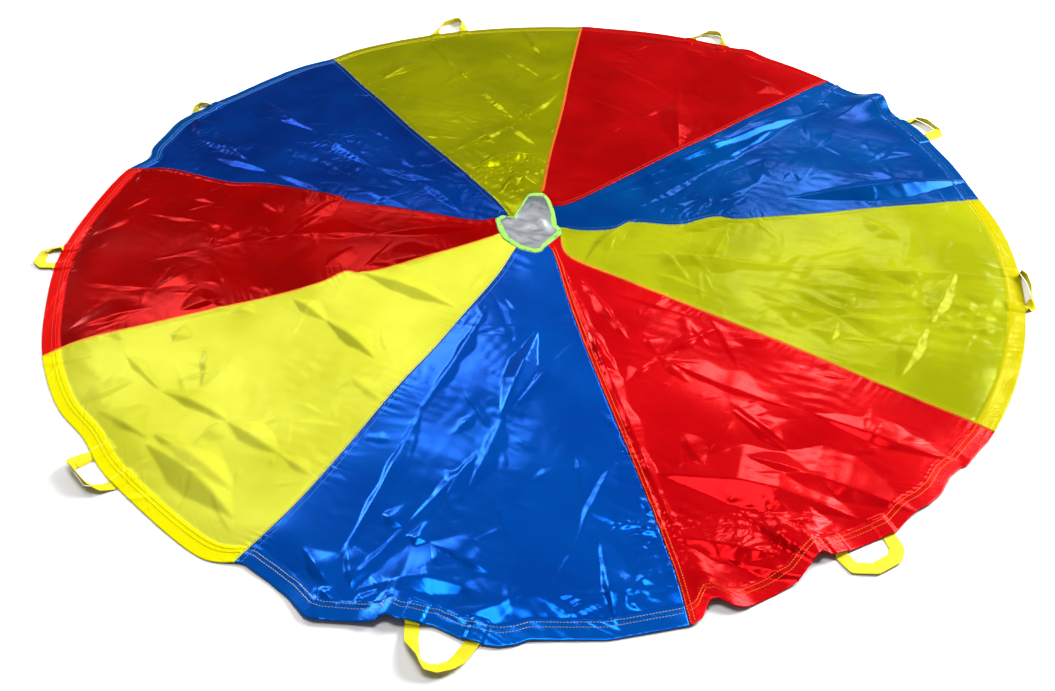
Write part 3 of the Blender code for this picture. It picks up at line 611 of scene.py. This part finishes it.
def newMesh(name, points, faces, material, smooth=True):
    # an object from whole arrays of points, in metres, and triangles
    mesh = bpy.data.meshes.new(name)
    mesh.vertices.add(len(points))
    mesh.vertices.foreach_set("co", np.asarray(points, np.float32).ravel())
    mesh.loops.add(3 * len(faces))
    mesh.loops.foreach_set("vertex_index", np.asarray(faces, np.int32).ravel())
    mesh.polygons.add(len(faces))
    mesh.polygons.foreach_set("loop_start", np.arange(0, 3 * len(faces), 3, dtype=np.int32))
    mesh.polygons.foreach_set("loop_total", np.full(len(faces), 3, np.int32))
    mesh.polygons.foreach_set("use_smooth", np.full(len(faces), smooth))
    mesh.update(calc_edges=True)
    mesh.materials.append(material)
    obj = bpy.data.objects.new(name, mesh)
    bpy.context.scene.collection.objects.link(obj)
    return obj


def setUv(obj, uv):
    # a UV for each point, in metres along the cloth
    layer = obj.data.uv_layers.new(name="UVMap")
    index = np.zeros(len(obj.data.loops), np.int32)
    obj.data.loops.foreach_get("vertex_index", index)
    layer.data.foreach_set("uv", np.asarray(uv, np.float32)[index].ravel())


def setNumber(obj, name, values):
    # a number for each point, which a material reads by its name
    attribute = obj.data.attributes.new(name, "FLOAT", "POINT")
    attribute.data.foreach_set("value", np.asarray(values, np.float32))


def linear(code):
    # sRGB hex to linear red, green and blue
    value = np.array([int(code[k : k + 2], 16) for k in (1, 3, 5)]) / 255
    return (*np.where(value <= 0.04045, value / 12.92, ((value + 0.055) / 1.055) ** 2.4).tolist(), 1.0)


def addNode(tree, kind, settings=None, links=None):
    # a shader node with its properties or socket values set, and its sockets linked
    made = tree.nodes.new("ShaderNode" + kind)
    for key, value in (settings or {}).items():
        if isinstance(key, int) or key in made.inputs:
            made.inputs[key].default_value = value
        else:
            setattr(made, key, value)
    for key, source in (links or {}).items():
        tree.links.new(source, made.inputs[key])
    return made


def perMetre(size):
    # the scale that gives a texture's features a size in millimetres
    return 1 / (size * mm)


waveScale = 0.31  # the scale at which a wave texture has one band a metre


def speckle(tree, place, size, detail, spans):
    # a share that changes in patches of a size in millimetres, within the spans
    settings = {"Scale": perMetre(size), "Detail": detail}
    noise = addNode(tree, "TexNoise", settings, {"Vector": place["Object"]})
    return addNode(tree, "MapRange", spans, {"Value": noise.outputs[0]}).outputs[0]


def newMaterial(name, finish):
    # a material and its node tree, and its shader with the fixed values in finish
    material = bpy.data.materials.new(name)
    material.use_nodes = True
    tree = material.node_tree
    tree.nodes.clear()
    shader = addNode(tree, "BsdfPrincipled", finish)
    addNode(tree, "OutputMaterial", None, {"Surface": shader.outputs[0]})
    return material, tree, shader


# Coated polyester taffeta: plain woven, pressed and coated on one side, so it is smooth and stiff enough
# to crease sharply, and shines in streaks of its own colour along the creases. Each panel's tones have the
# light, shade and sheen of where it lies painted in, so the one cloth is painted darker on panels away
# from the front.
Dye = namedtuple("Dye", "main dark hem metallic specular roughness")
taffeta = {
    "rib": 0.9,  # mm between ribs of the weave, drawn coarser than the real 0.25
    "crinkle": 9.09,  # mm across the finest crinkles
    "patch": 166.7,  # mm across the darker patches of painted shade
    "shine": {"red": "#ff5048", "yellow": "#ffff50", "blue": "#50a8ff"},
    # The cloth, its darker patches and its hem, each with light and shade painted in: the cloth's tone holds
    # the light, shade and sheen where the panel lies, the patches are painted shade, and the hem's tone
    # holds the light it catches. Metallic is how much of the light the pressed filaments mirror in their own
    # colour, which the pale dye hides; specular is the coating's gloss. The back is rumpled finely, so it is
    # rougher there.
    "dyes": {
        "panel_1_red": Dye("#b5050b", "#a40107", "#b5060e", 0.28, 0.20, 0.16),
        "panel_2_yellow": Dye("#84890b", "#757a05", "#958d01", 0.03, 0.02, 0.16),
        "panel_3_blue": Dye("#003976", "#002d69", "#003671", 0.26, 0.04, 0.16),
        "panel_4_red": Dye("#8b0406", "#7b0203", "#8e0404", 0.20, 0.02, 0.16),
        "panel_5_yellow": Dye("#818300", "#717400", "#848000", 0.45, 0.05, 0.27),
        "panel_6_blue": Dye("#002b73", "#002061", "#004085", 0.40, 0.05, 0.2),
        "panel_7_red": Dye("#860000", "#730000", "#c40c06", 0.22, 0.03, 0.16),
        "panel_8_yellow": Dye("#b4b536", "#a7a827", "#cfc804", 0.02, 0.01, 0.16),
        "panel_9_blue": Dye("#0048a8", "#003f9d", "#004ba7", 0.48, 0.35, 0.16),
    },
}


def taffetaMaterial(name):
    # the panel's tones, with the light, shade and sheen where it lies painted in
    panelLit = taffeta["dyes"][name]
    finish = {"Roughness": panelLit.roughness, "IOR": 1.5, "Specular IOR Level": panelLit.specular,
              "Metallic": panelLit.metallic, "Specular Tint": linear(taffeta["shine"][name.split("_")[-1]])}
    material, tree, shader = newMaterial("taffeta" + name.title().replace("_", ""), finish)
    place = addNode(tree, "TexCoord").outputs
    # darker patches in broad noise: painted shade, standing in for facets turned away from the light
    share = speckle(tree, place, taffeta["patch"], 3.0, {"From Min": 0.38, "From Max": 0.62})
    body = addNode(tree, "Mix", {"data_type": "RGBA", 6: linear(panelLit.dark), 7: linear(panelLit.main)}, {0: share})
    # the hem's tone has the light it catches painted in: much lighter than the cloth on some panels
    inHem = addNode(tree, "Attribute", {"attribute_name": "hem"})
    colour = addNode(tree, "Mix", {"data_type": "RGBA", 7: linear(panelLit.hem)},
                     {0: inHem.outputs["Fac"], 6: body.outputs[2]})
    crinkle = addNode(tree, "TexNoise", {"Scale": perMetre(taffeta["crinkle"]), "Detail": 3.0},
                      {"Vector": place["Object"]})
    soft = addNode(tree, "Bump", {"Strength": 0.2, "Distance": 0.3 * mm}, {"Height": crinkle.outputs[0]})
    ribs = addNode(tree, "TexWave", {"Scale": waveScale * perMetre(taffeta["rib"])}, {"Vector": place["UV"]})
    woven = addNode(tree, "Bump", {"Strength": 0.12, "Distance": 0.1 * mm},
                    {"Height": ribs.outputs[0], "Normal": soft.outputs[0]})
    tree.links.new(colour.outputs[2], shader.inputs["Base Color"])
    tree.links.new(woven.outputs[0], shader.inputs["Normal"])
    return material


def sewPanel(index, name):
    # a closed thin shell: the upper face on a fine grid, the lower face on a coarser one that is pushed
    # down to keep under it, joined round the rim. The lower face has its UV rows all in one place.
    shares, columns, under = sheetRows()
    u, v, faces, rim = steppedGrid(shares, columns)
    x, y, top, _, fromEdge, width, inHem = panelTop(index, u, v)
    lowU, lowV, lowFaces, lowRim = steppedGrid(shares, under)
    lowX, lowY, lowTop, lowThick, _, lowWidth, _ = panelTop(index, lowU, lowV)
    lowest = lowTop - lowThick
    for nudge in (-3, -1.5, 1.5, 3):
        nearU = np.clip(lowU + nudge / 4 / np.repeat(under, under + 1), 0, 1)
        near = panelTop(index, nearU, lowV)
        lowest = np.minimum(lowest, near[2] - near[3] - cloth["under"])
    lowest[lowRim] = (lowTop - lowThick)[lowRim]
    lowest = np.maximum(lowest, cloth["off"])
    points = np.concatenate([np.stack([x, y, top], -1), np.stack([lowX, lowY, lowest], -1)])
    lower = lowRim + len(x)
    nextLower, nextRim = np.roll(lower, -1), np.roll(rim, -1)
    walls = [np.stack([rim, lower, nextLower], 1), np.stack([rim, nextLower, nextRim], 1)]
    faces = np.concatenate([faces, lowFaces[:, ::-1] + len(x), *walls])
    obj = newMesh("taffeta" + name[len("panel"):], points * mm, faces, taffetaMaterial(name))
    upperUv, lowerUv = np.stack([u * width, fromEdge], -1), np.stack([lowU * lowWidth, 500 + 0 * lowU], -1)
    setUv(obj, np.concatenate([upperUv, lowerUv]) * mm)
    setNumber(obj, "hem", np.concatenate([inHem, np.zeros(len(lowX))]))
    return obj


panelNames = sorted(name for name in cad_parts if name.startswith("panel_"))
for index, name in enumerate(panelNames):
    sheet = sewPanel(index, name)
    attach(sheet, "root")
    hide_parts(name)


def ribbonMesh(name, stations, material, closed=False, uv=None):
    # a skin over sections: stations is sections by corners by (x, y, z), with the ends closed by fans
    count, corners = stations.shape[:2]
    points = stations.reshape(-1, 3)
    i = np.arange(count if closed else count - 1)[:, None]
    j = np.arange(corners)[None, :]
    a, b = i * corners + j, i * corners + (j + 1) % corners
    c, d = ((i + 1) % count) * corners + (j + 1) % corners, ((i + 1) % count) * corners + j
    faces = [np.stack([a, b, c], -1).reshape(-1, 3), np.stack([a, c, d], -1).reshape(-1, 3)]
    if not closed:
        k = np.arange(1, corners - 1)
        last = (count - 1) * corners
        faces += [np.stack([0 * k, k + 1, k], -1), np.stack([last + 0 * k, last + k, last + k + 1], -1)]
    obj = newMesh(name, points * mm, np.concatenate(faces), material)
    if uv is not None:
        setUv(obj, uv.reshape(-1, 2) * mm)
    return obj


def barFrame(starts, ends):
    # unit ways along, across and up from each bar between two points
    along = unit(ends - starts)
    side = unit(np.cross(along, [0.0, 0.0, 1.0]))
    return along, side, np.cross(side, along)


def barsMesh(name, points, corners, material):
    # many short closed bars in one mesh. Each bar's points go ring by ring, with the same corners in each:
    # a fan over the first ring and the last, and two triangles a side between two rings.
    last = points.shape[1] - corners
    faces = [(0, k + 1, k) for k in range(1, corners - 1)]
    faces += [(last, last + k, last + k + 1) for k in range(1, corners - 1)]
    for ring in range(0, last, corners):
        for k in range(corners):
            a, b = ring + k, ring + (k + 1) % corners
            faces += [(a, b, b + corners), (a, b + corners, a + corners)]
    faces = np.array(faces)[None] + points.shape[1] * np.arange(len(points))[:, None, None]
    return newMesh(name, points.reshape(-1, 3) * mm, faces.reshape(-1, 3), material, smooth=False)


# Spun polyester sewing thread: matt, slightly hairy, a lockstitch sunk a little into the cloth. It is
# drawn 1.7 mm thick, because a real thread of 0.5 mm is too fine to show.
thread = {
    "stitch": 3.6,
    "pitch": 4.4,
    "zigzag": 2.6,
    "radius": 0.85,
    "sink": 0.1,
    "twist": 1.11,  # mm between turns of the yarn
    "hemRows": (18.5, 26.0),  # mm from the hem's edge
    "hemPoints": 400,
    "seamPoints": 500,
    "finish": {"Roughness": 0.6, "Specular IOR Level": 0.4},
    "hemTones": {2: "lap", 3: "deep", 5: "lap", 6: "deep"},  # the other hems go by their panel's colour
    "tones": {"lap": "#3f72b4", "blue": "#e6e6d4", "red": "#f09030", "yellow": "#c8c400",
              "orange": "#e88020", "deep": "#b8180c"},
}

# the two rows along each kind of seam, in mm to its left, or to its right where negative, and their thread
seamRows = {("red", "yellow"): (4.5, -2.0, "orange"), ("yellow", "blue"): (-1.8, 8.5, "lap"),
            ("blue", "red"): (1.8, 8.0, "deep")}


def threadMaterial(tone):
    material, tree, shader = newMaterial("spunThread" + tone.title(), thread["finish"])
    place = addNode(tree, "TexCoord").outputs
    share = speckle(tree, place, thread["twist"], 1.0, {"To Min": 0.75, "To Max": 1.1})
    colour = addNode(tree, "HueSaturation", {"Color": linear(thread["tones"][tone])}, {"Value": share})
    tree.links.new(colour.outputs[0], shader.inputs["Base Color"])
    return material


threadMaterials = {tone: threadMaterial(tone) for tone in thread["tones"]}


def stitchMesh(name, rows, tone):
    # rows of stitches, each as its starts and ends; a stitch is a three-sided spindle, thick in its middle
    starts, ends = (np.concatenate(part) for part in zip(*rows))
    _, side, up = barFrame(starts, ends)
    rings = []
    for share, size in ((0.0, 0.5), (0.5, 1.0), (1.0, 0.5)):
        middle = starts + share * (ends - starts) + up * (thread["radius"] * (size - 0.5) - thread["sink"])
        for turn in np.radians((90, 210, 330)):
            across, high = (thread["radius"] * size * wave(turn) for wave in (math.cos, math.sin))
            rings.append(middle + side * across + up * high)
    return barsMesh(name, np.stack(rings, 1), 3, threadMaterials[tone])


def stitchesAlong(points):
    # starts and ends of straight stitches along a line of points, one every pitch
    reach = reachAlong(points)
    starts = np.arange(thread["pitch"], reach[-1] - thread["pitch"], thread["pitch"])
    return [pointsAt(at, reach, points) for at in (starts, starts + thread["stitch"])]


def hemStitches(index, tone):
    # rows of stitches on a panel, each at one distance from the hem's edge
    u = np.linspace(0, 1, thread["hemPoints"])
    rows = []
    for inset in thread["hemRows"]:
        x, y, top, *_ = panelTop(index, u, np.full(len(u), 1 - inset / panelLength))
        rows.append(stitchesAlong(np.stack([x, y, top], -1)))
    return stitchMesh(f"hem_thread_{index + 1}", rows, tone)


def seamLine(index, away):
    # points on a panel at a distance from its right seam, or from its left one where that is negative
    v = np.linspace(0.015, 0.998, thread["seamPoints"])
    width = panelPlan(index, np.zeros(len(v)), v)[2]
    u = away / width if away > 0 else 1 + away / width
    x, y, top, *_ = panelTop(index, u, v)
    return np.stack([x, y, top], -1)


def seamStitches(number):
    # the rows of one seam: a zigzag over a red and yellow one, and two straight rows along the others
    kind = (seams[number].before, seams[number].after)
    *aways, tone = seamRows[kind]
    lines = [seamLine(number if away > 0 else (number - 1) % len(seams), away) for away in aways]
    if kind == ("red", "yellow"):
        at = np.linspace(0, len(lines[0]) - 1, int(reachAlong(lines[0])[-1] / thread["zigzag"]))
        over, under = (pointsAt(at, np.arange(len(line)), line) for line in lines)
        rows = [(over[:-1], under[:-1]), (under[:-1], over[1:])]
    else:
        rows = [stitchesAlong(line) for line in lines]
    return stitchMesh(f"seam_thread_{number + 1}", rows, "orange" if number == 0 else tone)


# Polyester hexagonal netting, knitted: its strands are painted a dark grey that holds the shade in and
# under the net, and lighter along the fold at its right, a painted glint. It is drawn with a cell every
# 4 mm, because the real 2 mm is too fine to show.
netting = {
    "pitch": 4.4,
    "wide": 1.3,
    "thick": 0.7,
    "cells": (30, 34),  # either way from the middle, across and up
    "middleY": 25,
    "middle": 1.2,  # height over the floor in the middle
    "wobble": 1.8,
    "waves": ((45, 13), (38, 14)),  # the wobble's width and seed across and up
    "folds": (1.6, 34, 21),  # height, width and seed
    "bunch": (30.0, 6.0, 24.0, 7.0, 118.0),  # where it is bunched in a fold, which is raised and painted lighter as a glint: middle, half length, half width and turn
    "bunchHigh": 3.5,
    "short": 0.25,  # how far a strand stops from the middle of a knot
    "rimOver": 0.6,
    "fibre": 1.43,  # mm between filaments
    "finish": {"Roughness": 0.4, "Specular IOR Level": 0.4},
    # the strands' grey, painted dark with the net's shade, and the lighter grey of the glint painted along
    # the fold
    "tones": ("#6c7078", "#c8ced2"),
}


def nettingMaterial():
    material, tree, shader = newMaterial("knittedNetting", netting["finish"])
    place = addNode(tree, "TexCoord").outputs
    share = speckle(tree, place, netting["fibre"], 2.0, {"To Min": 0.5, "To Max": 1.5})
    # painted glint: lighter strands along the fold, mixed over their grey painted with shade
    bunch = addNode(tree, "Attribute", {"attribute_name": "bunch"})
    shadedStrand, glintStrand = map(linear, netting["tones"])
    shadeAndGlint = addNode(tree, "Mix", {"data_type": "RGBA", 6: shadedStrand, 7: glintStrand}, {0: bunch.outputs["Fac"]})
    colour = addNode(tree, "HueSaturation", None, {"Value": share, "Color": shadeAndGlint.outputs[2]})
    tree.links.new(colour.outputs[0], shader.inputs["Base Color"])
    return material


# Polyester tape over the net's edge, overlocked: bright thread over darker tape, tufted and a little fuzzy
binding = {
    "wide": 12.0,
    "thick": 2.0,
    "wraps": 2.4,  # mm from one wrap of the thread to the next
    "over": 2.0,  # how far it lies over the net
    "lift": 0.2,
    "hidden": (122.0, 18.0, 0.7),  # angle, spread and share of its width that a folded tip of cloth covers
    "stations": 1000,
    "corners": 14,
    "tuft": 5.26,  # mm across the tufts
    "finish": {"Roughness": 0.5, "Sheen Weight": 0.3},
    "tones": ("#2f7a0c", "#7cc425"),
}


def netRim(angle):
    # the panels' inner edge as radius and the cloth's height there
    radius = netRadius(angle)
    turn = np.radians(angle)
    return radius, clothHeight(radius * np.cos(turn), radius * np.sin(turn))


def foldAndGlint(x, y):
    # 1 along the fold where the net is bunched, falling off over its half length and half width; it raises
    # the fold and masks the glint painted on it
    middleX, middleY, long, wide, turn = netting["bunch"]
    wayX, wayY = math.cos(math.radians(turn)), math.sin(math.radians(turn))
    along, away = (x - middleX) * wayX + (y - middleY) * wayY, (y - middleY) * wayX - (x - middleX) * wayY
    return np.exp(-((along / long) ** 4) - (away / wide) ** 2)


def netHeight(x, y):
    # a shallow bowl from the floor up to the binding, with bunched folds towards its right side
    radius, angle = polar(x, y)
    edge, rise = netRim(angle)
    share = np.clip(radius / (edge - binding["wide"]), 0, 1)
    high, *wave = netting["folds"]
    folds = high * np.abs(swell(x, y, *wave)) + netting["bunchHigh"] * foldAndGlint(x, y)
    return netting["middle"] + (rise + netting["rimOver"]) * share**2 + folds * (1 - share**4)


def knitNet():
    # a sheet of hexagonal cells: three strands for each cell, each a flat four-sided bar between two
    # knots, with the whole pattern shifted a little by a smooth field where the cloth is bunched
    pitch, edge = netting["pitch"], netting["pitch"] / math.sqrt(3)
    i, j = np.meshgrid(*(np.arange(-most, most + 1) for most in netting["cells"]), indexing="ij")
    cellX, cellY = ((i + 0.5 * (j % 2)) * pitch).ravel(), (j * 1.5 * edge).ravel() + netting["middleY"]
    corner = np.radians(30 + 60 * np.arange(4))
    knotX, knotY = cellX[:, None] + edge * np.cos(corner), cellY[:, None] + edge * np.sin(corner)
    ends = []
    for first in (slice(0, 3), slice(1, 4)):
        x, y = knotX[:, first].ravel(), knotY[:, first].ravel()
        shiftX, shiftY = (netting["wobble"] * swell(x, y, *wave) for wave in netting["waves"])
        ends.append((x + shiftX, y + shiftY))
    middleX, middleY = 0.5 * (ends[0][0] + ends[1][0]), 0.5 * (ends[0][1] + ends[1][1])
    radius, angle = polar(middleX, middleY)
    kept = radius < netRadius(angle) - binding["wide"] + binding["over"]
    ends = [np.stack([x[kept], y[kept], netHeight(x[kept], y[kept])], -1) for x, y in ends]
    way, side, up = barFrame(*ends)
    points = []
    for end, push in ((ends[0], netting["short"]), (ends[1], -netting["short"])):
        for w, t in ((-1, -1), (-1, 1), (1, 1), (1, -1)):
            across, high = 0.5 * w * netting["wide"], 0.5 * t * netting["thick"]
            points.append(end + way * push + across * side + high * up)
    points = np.stack(points, 1)
    obj = barsMesh("netting", points, 4, nettingMaterial())
    # where the painted glint goes along the fold
    setNumber(obj, "bunch", foldAndGlint(points[..., 0].ravel(), points[..., 1].ravel()))
    return obj


def bindingMaterial():
    material, tree, shader = newMaterial("overlockedTape", binding["finish"])
    place = addNode(tree, "TexCoord").outputs
    share = speckle(tree, place, binding["tuft"], 3.0, {"From Min": 0.36, "From Max": 0.5})
    dark, bright = map(linear, binding["tones"])
    colour = addNode(tree, "Mix", {"data_type": "RGBA", 6: dark, 7: bright}, {0: share})
    tree.links.new(colour.outputs[2], shader.inputs["Base Color"])
    return material


def squared(wave, power):
    # a sine or cosine brought nearer to a square wave: its size to a power under 1, with its sign
    return np.sign(wave) * np.abs(wave) ** power


def sewBinding():
    # a flat rounded ring round the net, swelling and pinching once for each wrap of its overlock thread
    angle = np.linspace(0, 360, binding["stations"], endpoint=False)
    radius, rise = netRim(angle)
    turn = np.radians(angle)
    outline = np.stack([radius * np.cos(turn), radius * np.sin(turn)], -1)
    step = np.linalg.norm(np.roll(outline, -1, 0) - outline, axis=1)
    wrap = 0.5 + 0.5 * np.abs(np.sin(math.pi * np.cumsum(step) / binding["wraps"]))[:, None]
    section = np.linspace(0, 2 * math.pi, binding["corners"], endpoint=False)
    wide = squared(np.cos(section), 0.6) * binding["wide"] / 2
    high = np.sin(section) * binding["thick"] / 2
    middle, reach, part = binding["hidden"]
    shown = 1 - part * np.exp(-((around(angle - middle) / reach) ** 2))
    far = radius[:, None] + (wide * (0.9 + 0.1 * wrap) - binding["wide"] / 2) * shown[:, None]
    height = rise[:, None] + binding["thick"] / 2 + high * (0.65 + 0.35 * wrap) + binding["lift"]
    stations = np.stack([far * np.cos(turn)[:, None], far * np.sin(turn)[:, None], height], -1)
    return ribbonMesh("overlocked_binding", stations[:, ::-1], bindingMaterial(), closed=True)


# Polyester webbing, plain woven: a thick ribbed ribbon with a little sheen, flattened under the hem
webbing = {
    "wide": 20.0,
    "thick": 1.6,
    "rib": 1.6,
    "ends": 1.1,  # mm between the yarns along it
    "tab": (27.0, 2.0),  # under the hem it runs from the first to the second of these from the edge
    "off": 0.25,  # over the floor
    "stations": 110,
    "smooth": 7,  # stations over which it turns at a bend
    "corners": 20,
    "finish": {"Roughness": 0.5, "Specular IOR Level": 0.2},
    "tones": ("#c0b400", "#e4d800"),
}


def webbingMaterial():
    material, tree, shader = newMaterial("wovenWebbing", webbing["finish"])
    place = addNode(tree, "TexCoord").outputs
    ribs, ends = (addNode(tree, "TexWave",
                          {"Scale": waveScale * perMetre(webbing[key]), "bands_direction": way},
                          {"Vector": place["UV"]}) for key, way in (("rib", "X"), ("ends", "Y")))
    weave = addNode(tree, "Math", {"operation": "MULTIPLY"}, {0: ribs.outputs[1], 1: ends.outputs[1]})
    low, high = map(linear, webbing["tones"])
    colour = addNode(tree, "Mix", {"data_type": "RGBA", 6: low, 7: high}, {0: weave.outputs[0]})
    bump = addNode(tree, "Bump", {"Strength": 0.5, "Distance": 0.4 * mm}, {"Height": weave.outputs[0]})
    tree.links.new(colour.outputs[2], shader.inputs["Base Color"])
    tree.links.new(bump.outputs[0], shader.inputs["Normal"])
    return material


def loopPath(index, loop):
    # the middle line of a loop, straight from bend to bend, with its tabs in under the hem, and its lean
    legs, across, outward = loopLegs(index, loop)
    along, out, lean = np.array(loop.bends, float).T
    line = legs.mean(axis=0) + np.outer(along, across) + np.outer(out, outward)
    tab = np.array(webbing["tab"])[:, None]
    line = np.concatenate([legs[0] - tab * outward, line, legs[1] - tab[::-1] * outward])
    return line, np.radians(np.concatenate([[0, 0], lean, [0, 0]])), outward


def cutLoop(index, loop, material):
    # a rounded flat section carried along the loop's line, leaning as the bends say, with its lower edge
    # on the floor. Under the hem it lies as far under the cloth's lower face as the tabs lift that.
    line, lean, outward = loopPath(index, loop)
    reach = reachAlong(line)
    even = np.linspace(0, reach[-1], webbing["stations"])
    line = pointsAt(even, reach, line)
    lean = np.interp(even, reach, lean)
    kernel = np.ones(webbing["smooth"]) / webbing["smooth"]
    going = [np.convolve(np.pad(part, webbing["smooth"] // 2, mode="edge"), kernel, "valid")
             for part in np.gradient(line, axis=0).T]
    going = unit(np.stack(going, -1))
    side = np.stack([going[:, 1], -going[:, 0]], -1)
    inside = np.clip((line - line[0]) @ outward / webbing["tab"][0], 0, 1)
    covered = 1 - smoothStep(0.95, 1.0, inside)
    low = clothHeight(line[:, 0], line[:, 1]) - tabs["rise"]
    height = np.maximum(low * covered, 0) + 0.5 * webbing["wide"] * np.abs(np.sin(lean))
    height += webbing["thick"] / 2 + webbing["off"]
    wideWay = np.stack([side[:, 0] * np.cos(lean), side[:, 1] * np.cos(lean), np.sin(lean)], -1)
    thickWay = np.stack([-side[:, 0] * np.sin(lean), -side[:, 1] * np.sin(lean), np.cos(lean)], -1)
    corner = np.linspace(0, 2 * math.pi, webbing["corners"], endpoint=False)
    w = squared(np.cos(corner), 0.25) * webbing["wide"] / 2
    t = squared(np.sin(corner), 0.5) * webbing["thick"] / 2
    middle = np.column_stack([line, height])
    stations = middle[:, None] + w[None, :, None] * wideWay[:, None] + t[None, :, None] * thickWay[:, None]
    x, y = stations[..., 0], stations[..., 1]
    underHem = clothHeight(x.ravel(), y.ravel()).reshape(x.shape) - tabs["rise"]
    stations[..., 2] += covered[:, None] * (np.maximum(underHem, 0) - np.maximum(low, 0)[:, None])
    uv = np.stack(np.broadcast_arrays(even[:, None], w[None, :]), -1)
    return ribbonMesh(f"webbing_loop_{index + 1}", stations, material, uv=uv)


webbingCloth = webbingMaterial()
for index, (name, loop) in enumerate(zip(panelNames, loops)):
    colour = name.split("_")[-1]
    handle = cutLoop(index, loop, webbingCloth)
    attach(handle, "root")
    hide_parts(f"handle_{index + 1}")
    hemThread = hemStitches(index, thread["hemTones"].get(index, colour))
    seamThread = seamStitches(index)
    for piece in (hemThread, seamThread):
        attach(piece, "root")
print("loops cut and threads run")

net, tape = knitNet(), sewBinding()
for piece, cadNode, slot in ((net, "net", "grey_net"), (tape, "net_binding", "green_tape")):
    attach(piece, "root")
    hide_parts(cadNode)
print("net knitted")

# Seamless white studio paper: matt, so it takes soft shadows and no reflections
paper = {"half": 8, "finish": {"Base Color": linear("#e4e4e4"), "Roughness": 0.8, "Specular IOR Level": 0.1}}
floorMesh = bpy.data.meshes.new("floor")
corners = [(x * paper["half"], y * paper["half"], 0) for x, y in ((-1, -1), (1, -1), (1, 1), (-1, 1))]
floorMesh.from_pydata(corners, [], [(0, 1, 2, 3)])
floor = bpy.data.objects.new("floor", floorMesh)
bpy.context.scene.collection.objects.link(floor)
floorMesh.materials.append(newMaterial("paperFloor", paper["finish"])[0])

# the soft lights: places and sizes in metres, powers in watts
studio = {
    "key": {"place": (2.5, 0.9, 1.8), "size": 1.2, "power": 210},
    "overhead": {"place": (-0.02, -0.35, 2.5), "size": 0.8, "long": 1.1, "power": 40},
    "back": {"place": (-0.89, 2.17, 2.2), "size": 0.7, "power": 16},
    "nearRight": {"place": (1.29, 2.72, 2.2), "size": 0.55, "long": 0.85, "turn": -14, "power": 25},
    "nearLeft": {"place": (-1.87, 1.65, 2.2), "size": 0.65, "long": 0.8, "turn": 44, "power": 32},
    "farLeft": {"place": (-4.2, 3.6, 1.7), "size": 0.9, "power": 60},
    "farRight": {"place": (3.3, 3.5, 1.7), "size": 0.9, "power": 50},
}
surroundings = 0.14  # strength of the light from all round


def stand(name, data, place, right, up, back):
    # a lamp or the camera at its place, with its own X, Y and Z along the three ways
    made = bpy.data.objects.new(name, data)
    bpy.context.scene.collection.objects.link(made)
    made.matrix_world = Matrix.Translation(place) @ Matrix((right, up, back)).transposed().to_4x4()
    return made


def softbox(name, place, size, power, long=None, turn=0):
    # faces the middle of the floor, with its long side level and turned about the vertical
    light = bpy.data.lights.new(name, "AREA")
    light.shape = "RECTANGLE"
    light.size, light.size_y = long or size, size
    light.energy = power
    facing = -Vector(place).normalized()
    level = Vector((math.cos(math.radians(turn)), math.sin(math.radians(turn)), 0))
    level = (level - facing * level.dot(facing)).normalized()
    stand(name, light, place, level, level.cross(facing), -facing)


for name, lamp in studio.items():
    softbox(name, **lamp)
world = bpy.data.worlds.new("studio")
world.use_nodes = True
world.node_tree.nodes["Background"].inputs["Color"].default_value = (1, 1, 1, 1)
world.node_tree.nodes["Background"].inputs["Strength"].default_value = surroundings
bpy.context.scene.world = world
bpy.context.scene.view_settings.view_transform = "Standard"

view = {"place": (0.131, -1.600, 1.158), "turn": -5.19, "tilt": 42.35, "roll": -1.94, "lens": 34.5}


def placeCamera():
    # looks down by tilt and to the left by turn, rolled a little
    turn, tilt, roll = (math.radians(view[key]) for key in ("turn", "tilt", "roll"))
    forward = Vector((math.sin(turn) * math.cos(tilt), math.cos(turn) * math.cos(tilt), -math.sin(tilt)))
    level = Vector((math.cos(turn), -math.sin(turn), 0))
    up = level.cross(forward)
    right = math.cos(roll) * level + math.sin(roll) * up
    up = math.cos(roll) * up - math.sin(roll) * level
    lens = bpy.data.cameras.new("camera")
    lens.lens = view["lens"]
    lens.sensor_width = 36
    lens.clip_start = 0.05
    bpy.context.scene.camera = stand("camera", lens, view["place"], right, up, -forward)


placeCamera()
print("studio set")
